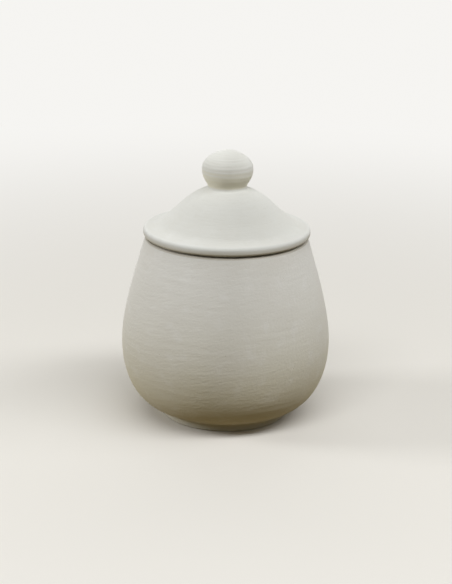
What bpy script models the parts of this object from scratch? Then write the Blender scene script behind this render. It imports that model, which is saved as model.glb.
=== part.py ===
"""A lidded pot in bisque-fired earthenware: a pear-shaped body on a turned foot, and a lid with a knob.

Every piece is turned about the pot's upright axis. The pot stands on z = 0, and sizes are in metres.
"""

from math import cos, radians, sin, tan

import bpy
from mathutils import Vector
from mathutils.geometry import interpolate_bezier

# Pot
POT_HEIGHT = 0.0894
BELLY_RADIUS = 0.0510
BELLY_HEIGHT = 0.0371
MOUTH_RADIUS = 0.0393
MOUTH_LEAN = radians(16.5)
POT_WALL = 0.0045
RIM_ROUND = 0.0007
FLOOR_THICKNESS = 0.0048
FLOOR_RADIUS = 0.0210

# Turned foot under the pot
FOOT_RADIUS = 0.0312
FOOT_HEIGHT = 0.0040
FOOT_RING_WIDTH = 0.0052
FOOT_RECESS = 0.0024
FOOT_ROUND = 0.0009
FOOT_FILLET = 0.0026
UNDERSIDE_RISE = radians(15)

# Lid, measured up from the narrow flat that it rests on the rim with
SEAT_GAP = 0.0003
SEAT_WIDTH = 0.0020
LID_OVERHANG = 0.0011
LID_EDGE_LIFT = 0.0010
LID_EDGE_HEIGHT = 0.0036
LID_EDGE_UPPER_ROUND = 0.0017
LID_EDGE_LOWER_ROUND = 0.0014
LID_WALL = 0.0045
FLANGE_WIDTH = 0.0116
FLANGE_RISE = radians(11.5)
BROW_HEIGHT = 0.0100
BROW_RISE = radians(38)
CROWN_HEIGHT = 0.0240
CROWN_RISE = radians(21)
HOLLOW_ROUND = 0.0025

# Skirt under the lid, which keeps it centred in the mouth
SKIRT_CLEARANCE = 0.0008
SKIRT_WALL = 0.0035
SKIRT_DEPTH = 0.0080
SKIRT_ROUND = 0.0011

# Knob, luted to the flat on top of the lid
LUTE_GAP = 0.0003
LUTE_MARGIN = 0.0003
KNOB_NECK_RADIUS = 0.0090
KNOB_FLARE = radians(24)
KNOB_RADIUS = 0.0123
KNOB_BELLY_HEIGHT = 0.0092
KNOB_HEIGHT = 0.0179

# How firmly a curve keeps its direction at its start and at its end, in lengths of its chord
INNER_BOWL_PULLS = (0.47, 0.36)
INNER_SHOULDER_PULLS = (0.295, 0.29)
OUTER_SHOULDER_PULLS = (0.29, 0.295)
UNDERSIDE_PULLS = (0.35, 0.37)
CROWN_PULLS = (0.46, 0.30)
FLANGE_PULLS = (0.50, 0.55)
HOLLOW_PULLS = (0.40, 0.45)
KNOB_TOP_PULLS = (0.39, 0.30)
KNOB_NECK_PULLS = (0.47, 0.46)

# Fineness of the turned surfaces, and the distance within which two points are one
TURN_STEPS = 56
CURVE_STEPS = 8
CORNER_STEPS = 4
MERGE_DISTANCE = 0.00001

# Dry, unglazed white clay
BISQUE_COLOUR = (0.76, 0.74, 0.68, 1)
BISQUE_ROUGHNESS = 0.92

# Directions in the half section, as radius and height
UP = Vector((0, 1))
DOWN = Vector((0, -1))
OUT = Vector((1, 0))
IN = Vector((-1, 0))


def heading(angle):
    """The direction at this angle above level, pointing away from the axis."""
    return Vector((cos(angle), sin(angle)))


def sweep(start, leaving, end, arriving, pulls):
    """Points of one smooth curve between two points, with its direction at each."""
    chord = (end - start).length
    first_handle = start + leaving * chord * pulls[0]
    last_handle = end - arriving * chord * pulls[1]
    return interpolate_bezier(start, first_handle, last_handle, end, CURVE_STEPS + 1)


def corner(at, arriving, leaving, radius):
    """Points of the round corner between two straight runs that would meet at this point."""
    turn = arriving.angle(leaving)
    reach = radius * tan(turn / 2)
    handle = radius * tan(turn / 4) * 4 / 3
    start = at - arriving * reach
    end = at + leaving * reach
    return interpolate_bezier(start, start + arriving * handle, end - leaving * handle, end, CORNER_STEPS + 1)


def mouth_bore():
    """Radius of the opening at the rim, inside the leaning wall."""
    return MOUTH_RADIUS - POT_WALL / cos(MOUTH_LEAN)


def pot_profile():
    """The pot's half section: out along the floor, up the inside, over the rim and down to the foot."""
    floor = FOOT_RECESS + FLOOR_THICKNESS
    belly = Vector((BELLY_RADIUS, BELLY_HEIGHT))
    inner_belly = belly + IN * POT_WALL
    wall_up = heading(radians(90) + MOUTH_LEAN)
    underside_in = -heading(UNDERSIDE_RISE)
    ring_bore = FOOT_RADIUS - FOOT_RING_WIDTH

    inner_rim = corner(Vector((mouth_bore(), POT_HEIGHT)), wall_up, OUT, RIM_ROUND)
    outer_rim = corner(Vector((MOUTH_RADIUS, POT_HEIGHT)), OUT, -wall_up, RIM_ROUND)
    foot_top = corner(Vector((FOOT_RADIUS, FOOT_HEIGHT)), underside_in, DOWN, FOOT_FILLET)

    points = [Vector((0, floor))]
    points += sweep(Vector((FLOOR_RADIUS, floor)), OUT, inner_belly, UP, INNER_BOWL_PULLS)
    points += sweep(inner_belly, UP, inner_rim[0], wall_up, INNER_SHOULDER_PULLS)
    points += inner_rim
    points += outer_rim
    points += sweep(outer_rim[-1], -wall_up, belly, DOWN, OUTER_SHOULDER_PULLS)
    points += sweep(belly, DOWN, foot_top[0], underside_in, UNDERSIDE_PULLS)
    points += foot_top
    points += corner(Vector((FOOT_RADIUS, 0)), DOWN, IN, FOOT_ROUND)
    points += corner(Vector((ring_bore, 0)), IN, UP, FOOT_ROUND)
    points += corner(Vector((ring_bore, FOOT_RECESS)), UP, IN, FOOT_ROUND)
    points.append(Vector((0, FOOT_RECESS)))
    return points


def lid_profile():
    """The lid's half section: down the crown and flange, round the edge and skirt, and up the hollow."""
    lid_radius = MOUTH_RADIUS + LID_OVERHANG
    skirt_radius = mouth_bore() - SKIRT_CLEARANCE
    skirt_bore = skirt_radius - SKIRT_WALL
    crown = Vector((KNOB_NECK_RADIUS + LUTE_MARGIN, CROWN_HEIGHT))
    brow = Vector((lid_radius - FLANGE_WIDTH, BROW_HEIGHT))
    brow_down = heading(-BROW_RISE)
    flange_down = heading(-FLANGE_RISE)

    # The flange's upright edge stands clear of the rim, and its underside slopes down to the seat by the skirt.
    edge_foot = Vector((lid_radius, LID_EDGE_LIFT))
    seat_edge = Vector((mouth_bore() + SEAT_WIDTH, 0))
    under_in = (seat_edge - edge_foot).normalized()
    edge_top = corner(edge_foot + UP * LID_EDGE_HEIGHT, flange_down, DOWN, LID_EDGE_UPPER_ROUND)

    hollow_brow = brow - brow_down.orthogonal() * LID_WALL
    hollow_foot = hollow_brow + brow_down * (skirt_bore - hollow_brow.x) / brow_down.x

    points = [Vector((0, CROWN_HEIGHT))]
    points += sweep(crown, heading(-CROWN_RISE), brow, brow_down, CROWN_PULLS)
    points += sweep(brow, brow_down, edge_top[0], flange_down, FLANGE_PULLS)
    points += edge_top
    points += corner(edge_foot, DOWN, under_in, LID_EDGE_LOWER_ROUND)
    points.append(seat_edge)
    points += corner(Vector((skirt_radius, 0)), IN, DOWN, SKIRT_ROUND)
    points += corner(Vector((skirt_radius, -SKIRT_DEPTH)), DOWN, IN, SKIRT_ROUND)
    points += corner(Vector((skirt_bore, -SKIRT_DEPTH)), IN, UP, SKIRT_ROUND)
    points += corner(hollow_foot, UP, -brow_down, HOLLOW_ROUND)
    points += sweep(hollow_brow, -brow_down, Vector((0, CROWN_HEIGHT - LID_WALL)), IN, HOLLOW_PULLS)
    return points


def knob_profile():
    """The knob's half section: over the ball, in to the neck and across the flat that is luted down."""
    belly = Vector((KNOB_RADIUS, KNOB_BELLY_HEIGHT))
    neck = Vector((KNOB_NECK_RADIUS, 0))
    points = sweep(Vector((0, KNOB_HEIGHT)), OUT, belly, DOWN, KNOB_TOP_PULLS)
    points += sweep(belly, DOWN, neck, -heading(radians(90) - KNOB_FLARE), KNOB_NECK_PULLS)
    points.append(Vector((0, 0)))
    return points


def bisque(name):
    material = bpy.data.materials.new(name)
    material.use_nodes = True
    shader = material.node_tree.nodes["Principled BSDF"]
    shader.inputs["Base Color"].default_value = BISQUE_COLOUR
    shader.inputs["Roughness"].default_value = BISQUE_ROUGHNESS
    shader.inputs["Metallic"].default_value = 0
    return material


def turned(name, profile, collection, parent, height):
    """A solid of revolution about its own upright axis, standing at this height above its parent's origin."""
    outline = profile[:1]
    for point in profile[1:]:
        if (point - outline[-1]).length > MERGE_DISTANCE:
            outline.append(point)
    mesh = bpy.data.meshes.new(name)
    edges = [(index, index + 1) for index in range(len(outline) - 1)]
    mesh.from_pydata([(point.x, 0, point.y) for point in outline], edges, [])
    mesh.materials.append(bisque(name + "_bisque"))

    piece = bpy.data.objects.new(name, mesh)
    collection.objects.link(piece)
    piece.parent = parent
    piece.location.z = height

    lathe = piece.modifiers.new("lathe", "SCREW")
    lathe.axis = "Z"
    lathe.steps = TURN_STEPS
    lathe.render_steps = TURN_STEPS
    lathe.use_merge_vertices = True
    lathe.merge_threshold = MERGE_DISTANCE
    lathe.use_smooth_shade = True
    return piece


def build():
    for old in list(bpy.data.objects):
        bpy.data.objects.remove(old)
    collection = bpy.data.collections.new("bisque_pot")
    bpy.context.scene.collection.children.link(collection)

    axis = bpy.data.objects.new("pot_axis", None)
    collection.objects.link(axis)
    turned("pot", pot_profile(), collection, axis, 0)
    lid = turned("lid", lid_profile(), collection, axis, POT_HEIGHT + SEAT_GAP)
    turned("lid_knob", knob_profile(), collection, lid, CROWN_HEIGHT + LUTE_GAP)


build()
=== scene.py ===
"""Looks of the bisque pot: dry white clay on the turned pieces, a pale floor and soft studio light.

Lengths are in metres, and heights are above the plane that the pot stands on.
"""

from math import cos, pi, radians, sin, sqrt

import bmesh
import bpy
import numpy as np
from mathutils import Matrix, Vector


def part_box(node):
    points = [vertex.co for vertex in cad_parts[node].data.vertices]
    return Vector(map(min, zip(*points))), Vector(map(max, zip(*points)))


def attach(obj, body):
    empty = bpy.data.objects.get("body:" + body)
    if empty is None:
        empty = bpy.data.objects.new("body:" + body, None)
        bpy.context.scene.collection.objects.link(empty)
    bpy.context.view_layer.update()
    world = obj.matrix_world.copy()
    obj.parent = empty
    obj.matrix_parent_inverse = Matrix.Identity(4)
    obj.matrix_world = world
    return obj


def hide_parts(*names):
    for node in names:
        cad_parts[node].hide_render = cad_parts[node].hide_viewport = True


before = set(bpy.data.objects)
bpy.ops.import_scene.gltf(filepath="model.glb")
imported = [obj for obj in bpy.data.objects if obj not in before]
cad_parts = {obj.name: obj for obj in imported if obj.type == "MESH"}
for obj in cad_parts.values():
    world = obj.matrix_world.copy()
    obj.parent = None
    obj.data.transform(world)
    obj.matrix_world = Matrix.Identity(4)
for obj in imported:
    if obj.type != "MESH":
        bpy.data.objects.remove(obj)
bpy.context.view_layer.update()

# Camera: in front of the pot and a little above it, with the slight roll of the photograph
VIEW_AIM = Vector((0, 0, 0.0609))
VIEW_DISTANCE = 0.8
VIEW_ELEVATION = radians(17.65)
VIEW_ROLL = radians(0.75)
LENS_MM = 100.7

# Fineness of the turned surfaces: the rows follow the outline, and the columns go round the axis
ROW_SPACING = 0.0009
KNOB_ROW_SPACING = 0.00025
ROW_TURN = radians(12)
COLUMNS = 200
SHARP_TURN = radians(35)
SAME_POINT = 0.000001

# An outer edge of this radius, or a sharper one, is as pale as edges get
EDGE_RADIUS = 0.002

# Slip that lutes the knob to the lid, drawn out into a fillet that ends just below the lid's surface
SLIP_HEIGHT = 0.0012
SLIP_WIDTH = 0.0013
SLIP_DEPTH = 0.00006
SLIP_STEPS = 8

# Ridges left by the turning: mean size, range of pitch along the outline, and most waves that one has round the axis
RIDGE_COUNT = 48
POT_SEED = 11
POT_WOBBLE = {"size": 0.00004, "pitch": (0.07, 0.16), "lobes": 3}
POT_LINES = {"size": 0.000012, "pitch": (0.0028, 0.006), "lobes": 6}
LID_SEED = 23
LID_WOBBLE = {"size": 0.00003, "pitch": (0.05, 0.12), "lobes": 3}
LID_LINES = {"size": 0.000005, "pitch": (0.0028, 0.007), "lobes": 4}
KNOB_SEED = 37
KNOB_WOBBLE = {"size": 0.00004, "pitch": (0.02, 0.05), "lobes": 3}
KNOB_LINES = {"size": 0.000017, "pitch": (0.0014, 0.0026), "lobes": 1}

# Distances from the axis, the floor and the other pieces over which the ridges set in
AXIS_FADE = (0, 0.004)
FOOT_FADE = (0.001, 0.004)
RIM_FADE = (0.0005, 0.004)
SEAT_FADE = (0.0008, 0.004)
NECK_FADE = (0.001, 0.006)
SLIP_FADE = (0, 0.003)

# Dry clay, and what it is multiplied by in some places: painted warm shade low down, and painted bounce light on the
# undersides
POT_CLAY = (0.833, 0.833, 0.808)
LID_CLAY = (0.782, 0.792, 0.769)
KNOB_CLAY = (0.830, 0.840, 0.815)
SHADE = (0.915, 0.900, 0.870)
PALE = (1.065, 1.070, 1.090)
LOW_WARM_SHADE = (0.875, 0.850, 0.750)
POT_PAINTED_BOUNCE = (1.000, 0.970, 0.855)
LID_PAINTED_BOUNCE = (1.000, 0.980, 0.880)
KNOB_PAINTED_BOUNCE = (1.125, 1.095, 0.980)

# Colours on the clay: ochre in specks and as painted shade in pinholes, and a dark tone for the painted shade at the
# seam and on the foot
OCHRE = (0.420, 0.330, 0.215)
SEAM_AND_FOOT_DARK = (0.520, 0.480, 0.400)

# Gloss of the clay
CLAY_SPECULAR = 0.3
CLAY_DIFFUSE_ROUGHNESS = 0.6

# Strokes round each piece. Their rise is how steeply they climb towards +X.
POT_STROKES = {"stroke_length": 0.006, "stroke_depth": 0.00015, "stroke_rise": 0.22}
LID_STROKES = {"stroke_length": 0.009, "stroke_depth": 0.00009, "stroke_rise": 0.0}
KNOB_STROKES = {"stroke_length": 0.024, "stroke_depth": 0.00011, "stroke_rise": 0.0}

# Long strokes and short ones lie over each other, and both stray up and down along their way
LONG_STROKE_WIDTH = 0.00125
SHORT_STROKE_WIDTH = 0.00105
SHORT_STROKE_SHARE = 0.25
STROKE_WAVER = 0.0018
WAVER = {"scale": 60, "detail": 1}

# Other textures of the clay
CLOUDS = {"scale": 38, "detail": 3}
PATCHES = {"scale": 150, "detail": 2}
GRAIN = {"scale": 2600, "detail": 2, "roughness": 0.6}
PINHOLES = {"scale": 190, "radius": 0.00025, "share": 0.16}
SPECKS = {"scale": 120, "radius": 0.00020, "share": 0.10}

# Middle of a noise's values, and share of a spot's radius inside which it is full
NOISE_MIDDLE = 0.5
SPOT_CORE = 0.4

# Depths of the grain and the pinholes
GRAIN_DEPTH = 0.00004
GRAIN_STRENGTH = 0.5
PINHOLE_DEPTH = 0.00012

# How a texture turns into a tone or a gloss: its run of values, and what the two ends of that run give
CLOUD_SHADE = (0.35, 0.75, 0, 0.5)
PATCH_PALE = (0.50, 0.80, 0, 0.35)
STROKE_SHADE = (0.50, 0.25, 0, 0.30)
GRAIN_SHADE = (0.55, 0.75, 0, 0.20)
FOOT_DARK_PATCHES = (0.35, 0.65, 0.05, 0.3)
GRAIN_ROUGHNESS = (0.3, 0.7, 0.86, 0.97)

# Strength of the other tones, and what a worn edge adds to the roughness
EDGE_PALE = 0.45
EDGE_ROUGHNESS = -0.08
PINHOLE_SHADE = 0.7
SPECK_OCHRE = 0.35
SEAM_SHADE = 0.6

# Heights between which painted warm shade darkens the pot towards its foot, and what this adds to the depth of the
# strokes
LOWER_TOP = 0.085
LOWER_FULL = 0.008
LOWER_STROKES = 0.4

# Heights between which the foot turns darker in patches towards its bottom edge
FOOT_TOP = 0.0016
FOOT_FULL = 0.0002

# Painted shade at the seam where the lid sits on the pot: its reach above and below the rim, and how near to the rim
# it is full
SEAM_ABOVE = 0.0042
SEAM_BELOW = 0.0011
SEAM_FULL = 0.0003

# Upward part of the normal at which a surface begins to count as an underside that gets painted bounce light, and
# fully does
UNDERSIDE_START = 0.25
UNDERSIDE_FULL = -0.50

# Floor: a large disc just under the foot, with its colour as it is seen
FLOOR_RADIUS = 9.0
FLOOR_SIDES = 64
FLOOR_DROP = 0.00005
FLOOR_SEEN = (0.87, 0.855, 0.82)

# Colours in which the floor throws light back at the pot, and distances from the axis at which the near one
# is full and has ended
FLOOR_BOUNCE = (0.090, 0.060, 0.018)
NEAR_BOUNCE = (0.215, 0.158, 0.074)
NEAR_START = 0.045
NEAR_END = 0.110

# Backdrop, and distances from the axis between which the floor fades into it
BACKDROP = (0.92, 0.91, 0.885)
BACKDROP_START = 0.10
BACKDROP_FULL = 0.70

# Light: a dim dome, and softboxes with their azimuth, elevation, width, height and power
DOME = (0.140, 0.129, 0.100)
LAMP_DISTANCE = 1.5
SOFTBOXES = {
    "front_softbox": (radians(17), radians(58.5), 2.4, 0.40, 18.7),
    "left_softbox": (radians(-91), radians(17), 0.45, 0.45, 9.3),
    "right_softbox": (radians(85), radians(38), 0.7, 0.7, 3.2),
    "back_softbox": (radians(180), radians(30), 1.6, 1.0, 4.0),
}

# Places of a Mix node's colours among its sockets, which share their names with those of other data
MIX_FIRST = 6
MIX_SECOND = 7
MIX_RESULT = 2


def half_section(node):
    """The node's outline beside its axis, as radius and height, from its upper end on the axis to its lower."""
    solid = bmesh.new()
    solid.from_mesh(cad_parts[node].data)
    bmesh.ops.remove_doubles(solid, verts=solid.verts, dist=SAME_POINT)
    everything = [*solid.verts, *solid.edges, *solid.faces]
    cut = bmesh.ops.bisect_plane(
        solid, geom=everything, dist=SAME_POINT, plane_co=(0, 0, 0), plane_no=(0, 1, 0)
    )["geom_cut"]
    edges = {
        edge for edge in cut
        if isinstance(edge, bmesh.types.BMEdge) and min(vert.co.x for vert in edge.verts) > -SAME_POINT
    }
    on_axis = [vert for edge in edges for vert in edge.verts if abs(vert.co.x) < SAME_POINT]
    at = max(on_axis, key=lambda vert: vert.co.z)
    points = [(0, at.co.z)]
    while edges:
        edge = next(edge for edge in at.link_edges if edge in edges)
        edges.remove(edge)
        at = edge.other_vert(at)
        points.append((max(at.co.x, 0), at.co.z))
    solid.free()
    return np.array(points)


def smooth_outline(points, spacing):
    """A closer row of points on smooth curves through these, with the sharp corners kept.

    The outline is level where it leaves the axis and comes back to it, and stays inside the box of the points.
    """
    steps = np.diff(points, axis=0)
    lengths = np.linalg.norm(steps, axis=1)
    ways = steps / lengths[:, None]
    through = points[2:] - points[:-2]
    through /= np.linalg.norm(through, axis=1)[:, None]
    turns = np.arccos(np.clip((ways[:-1] * ways[1:]).sum(1), -1, 1))
    sharp = (turns > SHARP_TURN)[:, None]
    leaving = np.vstack(((1, 0), np.where(sharp, ways[1:], through)))
    arriving = np.vstack((np.where(sharp, ways[:-1], through), (-1, 0)))

    outline = [points[:1]]
    for start, end, length, out, into in zip(points, points[1:], lengths, leaving, arriving):
        turn = np.arccos(np.clip(out @ into, -1, 1))
        count = int(np.ceil(max(length / spacing, turn / ROW_TURN)))
        t = np.linspace(0, 1, count + 1)[1:, None]
        outline.append(
            start * (1 + 2 * t) * (1 - t) ** 2
            + end * (3 - 2 * t) * t ** 2
            + out * length * t * (1 - t) ** 2
            - into * length * (1 - t) * t ** 2
        )
    return np.clip(np.vstack(outline), points.min(0), points.max(0))


def neck_radius():
    """Radius of the flat that the knob stands on."""
    points = half_section("lid_knob")
    return points[points[:, 1] < points[-1, 1] + SAME_POINT, 0].max()


def fade(values, start, end):
    """0 at the start, 1 at the end, and smooth between."""
    t = np.clip((values - start) / (end - start), 0, 1)
    return t * t * (3 - 2 * t)


def ridges(draw, along, around, size, pitch, lobes):
    """Random soft ridges round a turned surface."""
    field = np.zeros((len(along), len(around)))
    for _ in range(RIDGE_COUNT):
        waves = 2 * pi / draw.uniform(*pitch)
        turns = draw.integers(-lobes, lobes + 1)
        field += np.cos(waves * along[:, None] + turns * around + draw.uniform(0, 2 * pi))
    return field * size * sqrt(2 / RIDGE_COUNT)


def turned_faces(rings):
    """Faces of a closed surface: a point at the top, this many rings of points, and a point at the bottom."""
    column = np.arange(COLUMNS)
    after = (column + 1) % COLUMNS
    ring = 1 + np.arange(rings - 1)[:, None] * COLUMNS
    below = ring + COLUMNS
    bottom = 1 + rings * COLUMNS
    last_ring = bottom - COLUMNS
    cap = np.column_stack((np.zeros_like(column), 1 + column, 1 + after))
    quads = np.stack((ring + column, below + column, below + after, ring + after), axis=-1).reshape(-1, 4)
    base = np.column_stack((last_ring + column, np.full_like(column, bottom), last_ring + after))
    return [*cap.tolist(), *quads.tolist(), *base.tolist()]


def turned(name, outline, seed, wobble, lines, clear):
    """A closed mesh of the outline turned about the upright axis, with ridges where it is clear of other pieces.

    The points know how far along the outline they lie and how sharp an edge they are on.
    """
    steps = np.linalg.norm(np.diff(outline, axis=0), axis=1)
    along = np.concatenate(([0], np.cumsum(steps)))
    way = np.gradient(outline, along, axis=0)
    way /= np.linalg.norm(way, axis=1)[:, None]
    bend = -np.gradient(np.unwrap(np.arctan2(way[:, 1], way[:, 0])), along)
    edge = np.clip(bend * EDGE_RADIUS, 0, 1)
    around = np.arange(COLUMNS) * 2 * pi / COLUMNS

    draw = np.random.default_rng(seed)
    raised = ridges(draw, along, around, **wobble)
    raised += ridges(draw, along, around, **lines)
    raised *= (clear * fade(outline[:, 0], *AXIS_FADE))[:, None]
    radius = outline[:, 0, None] - way[:, 1, None] * raised
    height = outline[:, 1, None] + way[:, 0, None] * raised
    rings = np.stack((radius * np.cos(around), radius * np.sin(around), height), axis=-1)[1:-1]
    top = (0, 0, outline[0, 1])
    bottom = (0, 0, outline[-1, 1])
    points = np.vstack((top, rings.reshape(-1, 3), bottom))

    mesh = bpy.data.meshes.new(name)
    mesh.from_pydata(points.tolist(), [], turned_faces(len(rings)))
    mesh.shade_smooth()
    mesh.set_sharp_from_angle(angle=SHARP_TURN)
    for label, values in (("along", along), ("edge", edge)):
        at_points = np.concatenate((values[:1], np.repeat(values[1:-1], COLUMNS), values[-1:]))
        mesh.attributes.new(label, "FLOAT", "POINT").data.foreach_set("value", at_points)
    piece = bpy.data.objects.new(name, mesh)
    bpy.context.scene.collection.objects.link(piece)
    return piece


def make_pot():
    low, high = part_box("pot")
    outline = smooth_outline(half_section("pot"), ROW_SPACING)
    height = outline[:, 1]
    clear = fade(height - low.z, *FOOT_FADE) * fade(high.z - height, *RIM_FADE)
    return turned("turned_pot", outline, POT_SEED, POT_WOBBLE, POT_LINES, clear)


def make_lid():
    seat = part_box("pot")[1].z
    outline = smooth_outline(half_section("lid"), ROW_SPACING)
    radius, height = outline.T
    clear = fade(height - seat, *SEAT_FADE) * fade(radius - neck_radius(), *NECK_FADE)
    return turned("turned_lid", outline, LID_SEED, LID_WOBBLE, LID_LINES, clear)


def make_knob():
    """The ball of the knob, with a fillet of slip that curves from under it down to the lid."""
    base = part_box("lid_knob")[0].z
    lid_top = half_section("lid")
    lid_top = lid_top[:lid_top[:, 0].argmax()]
    knob = half_section("lid_knob")
    ball = knob[knob[:, 1] > base + SLIP_HEIGHT]

    neck = neck_radius()
    slip_edge = neck + SLIP_WIDTH
    slip_end = np.array((slip_edge, np.interp(slip_edge, *lid_top.T) - SLIP_DEPTH))
    t = np.linspace(0, 1, SLIP_STEPS + 1)[1:, None]
    slip = ball[-1] * (1 - t) ** 2 + np.array((neck, base)) * 2 * t * (1 - t) + slip_end * t ** 2
    points = np.vstack((ball, slip, (0, slip_end[1])))

    outline = smooth_outline(points, KNOB_ROW_SPACING)
    clear = fade(outline[:, 1] - base, *SLIP_FADE)
    return turned("turned_knob", outline, KNOB_SEED, KNOB_WOBBLE, KNOB_LINES, clear)


def add_node(tree, kind, inputs=None, **settings):
    """A shader node with these settings. An input that is a socket is linked, and any other is set."""
    node = tree.nodes.new("ShaderNode" + kind)
    for name, value in settings.items():
        setattr(node, name, value)
    for name, value in (inputs or {}).items():
        if isinstance(value, bpy.types.NodeSocket):
            tree.links.new(value, node.inputs[name])
        else:
            node.inputs[name].default_value = value
    return node


def maths(tree, operation, first, second, third=0.0):
    return add_node(tree, "Math", {0: first, 1: second, 2: third}, operation=operation).outputs[0]


def product(tree, first, second):
    return maths(tree, "MULTIPLY", first, second)


def spread(tree, value, low, high, to_low=0.0, to_high=1.0):
    """The value's run from low to high, spread smoothly over another."""
    inputs = {"Value": value, "From Min": low, "From Max": high, "To Min": to_low, "To Max": to_high}
    return add_node(tree, "MapRange", inputs, interpolation_type="SMOOTHSTEP").outputs[0]


def mixed(tree, factor, first, second, blend="MIX"):
    """The first colour, with the second mixed in by the factor."""
    mix = add_node(tree, "Mix", {0: factor}, data_type="RGBA", blend_type=blend)
    for index, colour in ((MIX_FIRST, first), (MIX_SECOND, second)):
        if isinstance(colour, bpy.types.NodeSocket):
            tree.links.new(colour, mix.inputs[index])
        else:
            mix.inputs[index].default_value = (*colour, 1)
    return mix.outputs[MIX_RESULT]


def noise(tree, vector, scale, detail, roughness=0.5):
    inputs = {"Vector": vector, "Scale": scale, "Detail": detail, "Roughness": roughness}
    return add_node(tree, "TexNoise", inputs).outputs["Fac"]


def spots(tree, vector, scale, radius, share):
    """Round spots of about this radius, in this share of the cells that the scale gives."""
    cells = add_node(tree, "TexVoronoi", {"Vector": vector, "Scale": scale})
    here = spread(tree, cells.outputs["Distance"], radius * scale, SPOT_CORE * radius * scale)
    kept = add_node(tree, "SeparateColor", {0: cells.outputs["Color"]}).outputs[0]
    return product(tree, here, maths(tree, "LESS_THAN", kept, share))


def stroke_noise(tree, place, stroke_length, stroke_rise):
    """Noise drawn out into strokes round the axis, on a surface whose points know how far along they lie."""
    x, y, _ = add_node(tree, "SeparateXYZ", {0: place}).outputs
    along = add_node(tree, "Attribute", attribute_name="along").outputs["Fac"]
    wavy = maths(tree, "MULTIPLY_ADD", noise(tree, place, **WAVER), STROKE_WAVER, along)
    wavy = maths(tree, "MULTIPLY_ADD", x, stroke_rise, wavy)

    def layer(length, width):
        stretched = add_node(tree, "CombineXYZ", {
            0: maths(tree, "DIVIDE", x, length),
            1: maths(tree, "DIVIDE", y, length),
            2: maths(tree, "DIVIDE", wavy, width),
        }).outputs[0]
        return noise(tree, stretched, scale=1, detail=1)

    long = layer(stroke_length, LONG_STROKE_WIDTH)
    short = layer(stroke_length * SHORT_STROKE_SHARE, SHORT_STROKE_WIDTH)
    return maths(tree, "DIVIDE", maths(tree, "ADD", long, short), 2)


def tinted(colour, tint):
    return [part * share for part, share in zip(colour, tint)]


def bisque(name, clay, painted_bounce_tint, stroke_length, stroke_depth, stroke_rise):
    """Dry unglazed clay with fine strokes round it, a chalky grain, pinholes and a few specks, with painted shade in
    the pinholes, at the seam and low down, and painted bounce light on the undersides.
    """
    shade = tinted(clay, SHADE)
    pale = tinted(clay, PALE)
    painted_low_shade = tinted(clay, LOW_WARM_SHADE)
    material = bpy.data.materials.new(name)
    material.use_nodes = True
    tree = material.node_tree
    shader = tree.nodes["Principled BSDF"]

    coordinates = add_node(tree, "TexCoord").outputs
    place = coordinates["Object"]
    height = add_node(tree, "SeparateXYZ", {0: place}).outputs["Z"]
    over_rim = maths(tree, "SUBTRACT", height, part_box("pot")[1].z)
    upward = add_node(tree, "SeparateXYZ", {0: coordinates["Normal"]}).outputs["Z"]
    edge = add_node(tree, "Attribute", attribute_name="edge").outputs["Fac"]

    low_down = spread(tree, height, LOWER_TOP, LOWER_FULL)
    foot = spread(tree, height, FOOT_TOP, FOOT_FULL)
    # Painted shade on the lid's edge and the rim, where the lid meets the pot
    painted_seam_shade = product(
        tree,
        spread(tree, over_rim, SEAM_ABOVE, SEAM_FULL),
        spread(tree, over_rim, -SEAM_BELOW, -SEAM_FULL),
    )
    painted_bounce_mask = spread(tree, upward, UNDERSIDE_START, UNDERSIDE_FULL)
    strokes = stroke_noise(tree, place, stroke_length, stroke_rise)
    clouds = noise(tree, place, **CLOUDS)
    patches = noise(tree, place, **PATCHES)
    grain = noise(tree, place, **GRAIN)
    pinholes = spots(tree, place, **PINHOLES)
    specks = spots(tree, place, **SPECKS)

    # Painted warm shade, deepening towards the foot
    colour = mixed(tree, low_down, clay, painted_low_shade)
    for factor, tone in (
        (spread(tree, clouds, *CLOUD_SHADE), shade),
        (spread(tree, patches, *PATCH_PALE), pale),
        (spread(tree, strokes, *STROKE_SHADE), shade),
        (spread(tree, grain, *GRAIN_SHADE), shade),
        (product(tree, edge, EDGE_PALE), pale),
        # Painted shade in the pinholes
        (product(tree, pinholes, PINHOLE_SHADE), OCHRE),
        (product(tree, specks, SPECK_OCHRE), OCHRE),
        # The foot darker in patches towards its bottom edge
        (product(tree, foot, spread(tree, patches, *FOOT_DARK_PATCHES)), SEAM_AND_FOOT_DARK),
        (product(tree, painted_seam_shade, SEAM_SHADE), SEAM_AND_FOOT_DARK),
    ):
        colour = mixed(tree, factor, colour, tone)
    # Painted warm bounce light on the undersides, brighter under the knob
    colour = mixed(tree, painted_bounce_mask, colour, painted_bounce_tint, "MULTIPLY")
    tree.links.new(colour, shader.inputs["Base Color"])

    rough = maths(tree, "ADD", spread(tree, grain, *GRAIN_ROUGHNESS), product(tree, edge, EDGE_ROUGHNESS))
    tree.links.new(rough, shader.inputs["Roughness"])
    shader.inputs["Specular IOR Level"].default_value = CLAY_SPECULAR
    shader.inputs["Diffuse Roughness"].default_value = CLAY_DIFFUSE_ROUGHNESS

    stroke_relief = product(
        tree,
        maths(tree, "SUBTRACT", strokes, NOISE_MIDDLE),
        maths(tree, "MULTIPLY_ADD", low_down, LOWER_STROKES, 1.0),
    )
    fine = add_node(tree, "Bump", {"Height": grain, "Strength": GRAIN_STRENGTH, "Distance": GRAIN_DEPTH})
    lined = add_node(tree, "Bump", {
        "Height": stroke_relief, "Strength": 1.0, "Distance": stroke_depth, "Normal": fine.outputs[0],
    })
    pitted = add_node(tree, "Bump", {
        "Height": pinholes, "Strength": 1.0, "Distance": PINHOLE_DEPTH, "Normal": lined.outputs[0],
    }, invert=True)
    tree.links.new(pitted.outputs[0], shader.inputs["Normal"])
    return material


def seen_rays(tree):
    """1 for the rays that show the stage, and 0 for the ones that light the pot from it."""
    path = add_node(tree, "LightPath").outputs
    seen = maths(tree, "MAXIMUM", path["Is Camera Ray"], path["Is Glossy Ray"])
    return maths(tree, "MAXIMUM", seen, path["Is Transmission Ray"])


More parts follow.
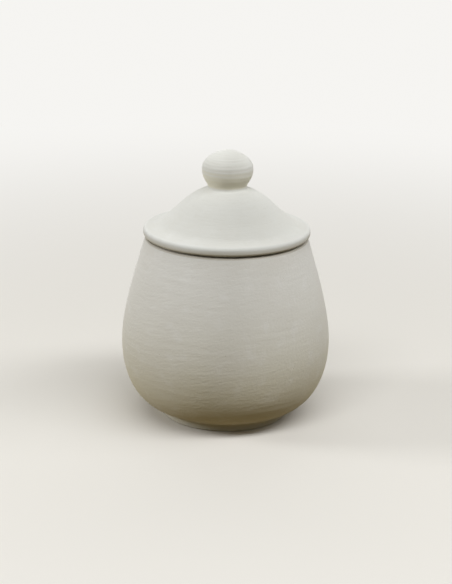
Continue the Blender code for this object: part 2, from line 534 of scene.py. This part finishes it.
def add_floor():
    """A pale floor that keeps the pot's shadow and fades into the backdrop."""
    disc = bmesh.new()
    bmesh.ops.create_circle(disc, cap_ends=True, radius=FLOOR_RADIUS, segments=FLOOR_SIDES)
    mesh = bpy.data.meshes.new("floor")
    disc.to_mesh(mesh)
    disc.free()
    floor = bpy.data.objects.new("floor", mesh)
    floor.location.z = -FLOOR_DROP
    bpy.context.scene.collection.objects.link(floor)

    material = bpy.data.materials.new("pale_floor")
    material.use_nodes = True
    tree = material.node_tree
    shader = tree.nodes["Principled BSDF"]
    seen = seen_rays(tree)
    place = add_node(tree, "TexCoord").outputs["Object"]
    distance = add_node(tree, "VectorMath", {0: place}, operation="LENGTH").outputs["Value"]
    far = spread(tree, distance, BACKDROP_START, BACKDROP_FULL)
    seen_colour = mixed(tree, far, FLOOR_SEEN, (0, 0, 0))
    bounce = mixed(tree, spread(tree, distance, NEAR_END, NEAR_START), FLOOR_BOUNCE, NEAR_BOUNCE)
    tree.links.new(mixed(tree, seen, bounce, seen_colour), shader.inputs["Base Color"])
    tree.links.new(product(tree, seen, far), shader.inputs["Emission Strength"])
    shader.inputs["Emission Color"].default_value = (*BACKDROP, 1)
    shader.inputs["Roughness"].default_value = 1
    shader.inputs["Specular IOR Level"].default_value = 0
    material.cycles.emission_sampling = "NONE"
    mesh.materials.append(material)


def add_world():
    """The dome that lights the pot, which is seen as the backdrop."""
    world = bpy.data.worlds.new("studio")
    world.use_nodes = True
    tree = world.node_tree
    sky = tree.nodes["Background"]
    tree.links.new(mixed(tree, seen_rays(tree), DOME, BACKDROP), sky.inputs["Color"])
    sky.inputs["Strength"].default_value = 1
    bpy.context.scene.world = world


def add_softbox(name, azimuth, elevation, width, height, power):
    """An area lamp that faces the middle of the pot. Azimuth 0 is the camera's side."""
    data = bpy.data.lights.new(name, "AREA")
    data.shape = "RECTANGLE"
    data.size = width
    data.size_y = height
    data.energy = power
    lamp = bpy.data.objects.new(name, data)
    back = Vector((sin(azimuth) * cos(elevation), -cos(azimuth) * cos(elevation), sin(elevation)))
    lamp.location = VIEW_AIM + back * LAMP_DISTANCE
    lamp.rotation_euler = back.to_track_quat("Z", "Y").to_euler()
    bpy.context.scene.collection.objects.link(lamp)


def add_camera():
    data = bpy.data.cameras.new("camera")
    data.lens = LENS_MM
    camera = bpy.data.objects.new("camera", data)
    back = Vector((0, -cos(VIEW_ELEVATION), sin(VIEW_ELEVATION)))
    level = back.to_track_quat("Z", "Y").to_matrix()
    camera.location = VIEW_AIM + back * VIEW_DISTANCE
    camera.rotation_euler = (level @ Matrix.Rotation(VIEW_ROLL, 3, "Z")).to_euler()
    bpy.context.scene.collection.objects.link(camera)
    bpy.context.scene.camera = camera


def dress(piece, body, node, material):
    piece.data.materials.append(material)
    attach(piece, body)
    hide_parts(node)


add_camera()
add_floor()
add_world()
for softbox, settings in SOFTBOXES.items():
    add_softbox(softbox, *settings)

pot_clay = bisque("pot_clay", POT_CLAY, POT_PAINTED_BOUNCE, **POT_STROKES)
lid_clay = bisque("lid_clay", LID_CLAY, LID_PAINTED_BOUNCE, **LID_STROKES)
knob_clay = bisque("knob_clay", KNOB_CLAY, KNOB_PAINTED_BOUNCE, **KNOB_STROKES)
dress(make_pot(), "pot", "pot", pot_clay)
dress(make_lid(), "lid", "lid", lid_clay)
dress(make_knob(), "lid", "lid_knob", knob_clay)

bpy.context.scene.view_settings.view_transform = "Standard"
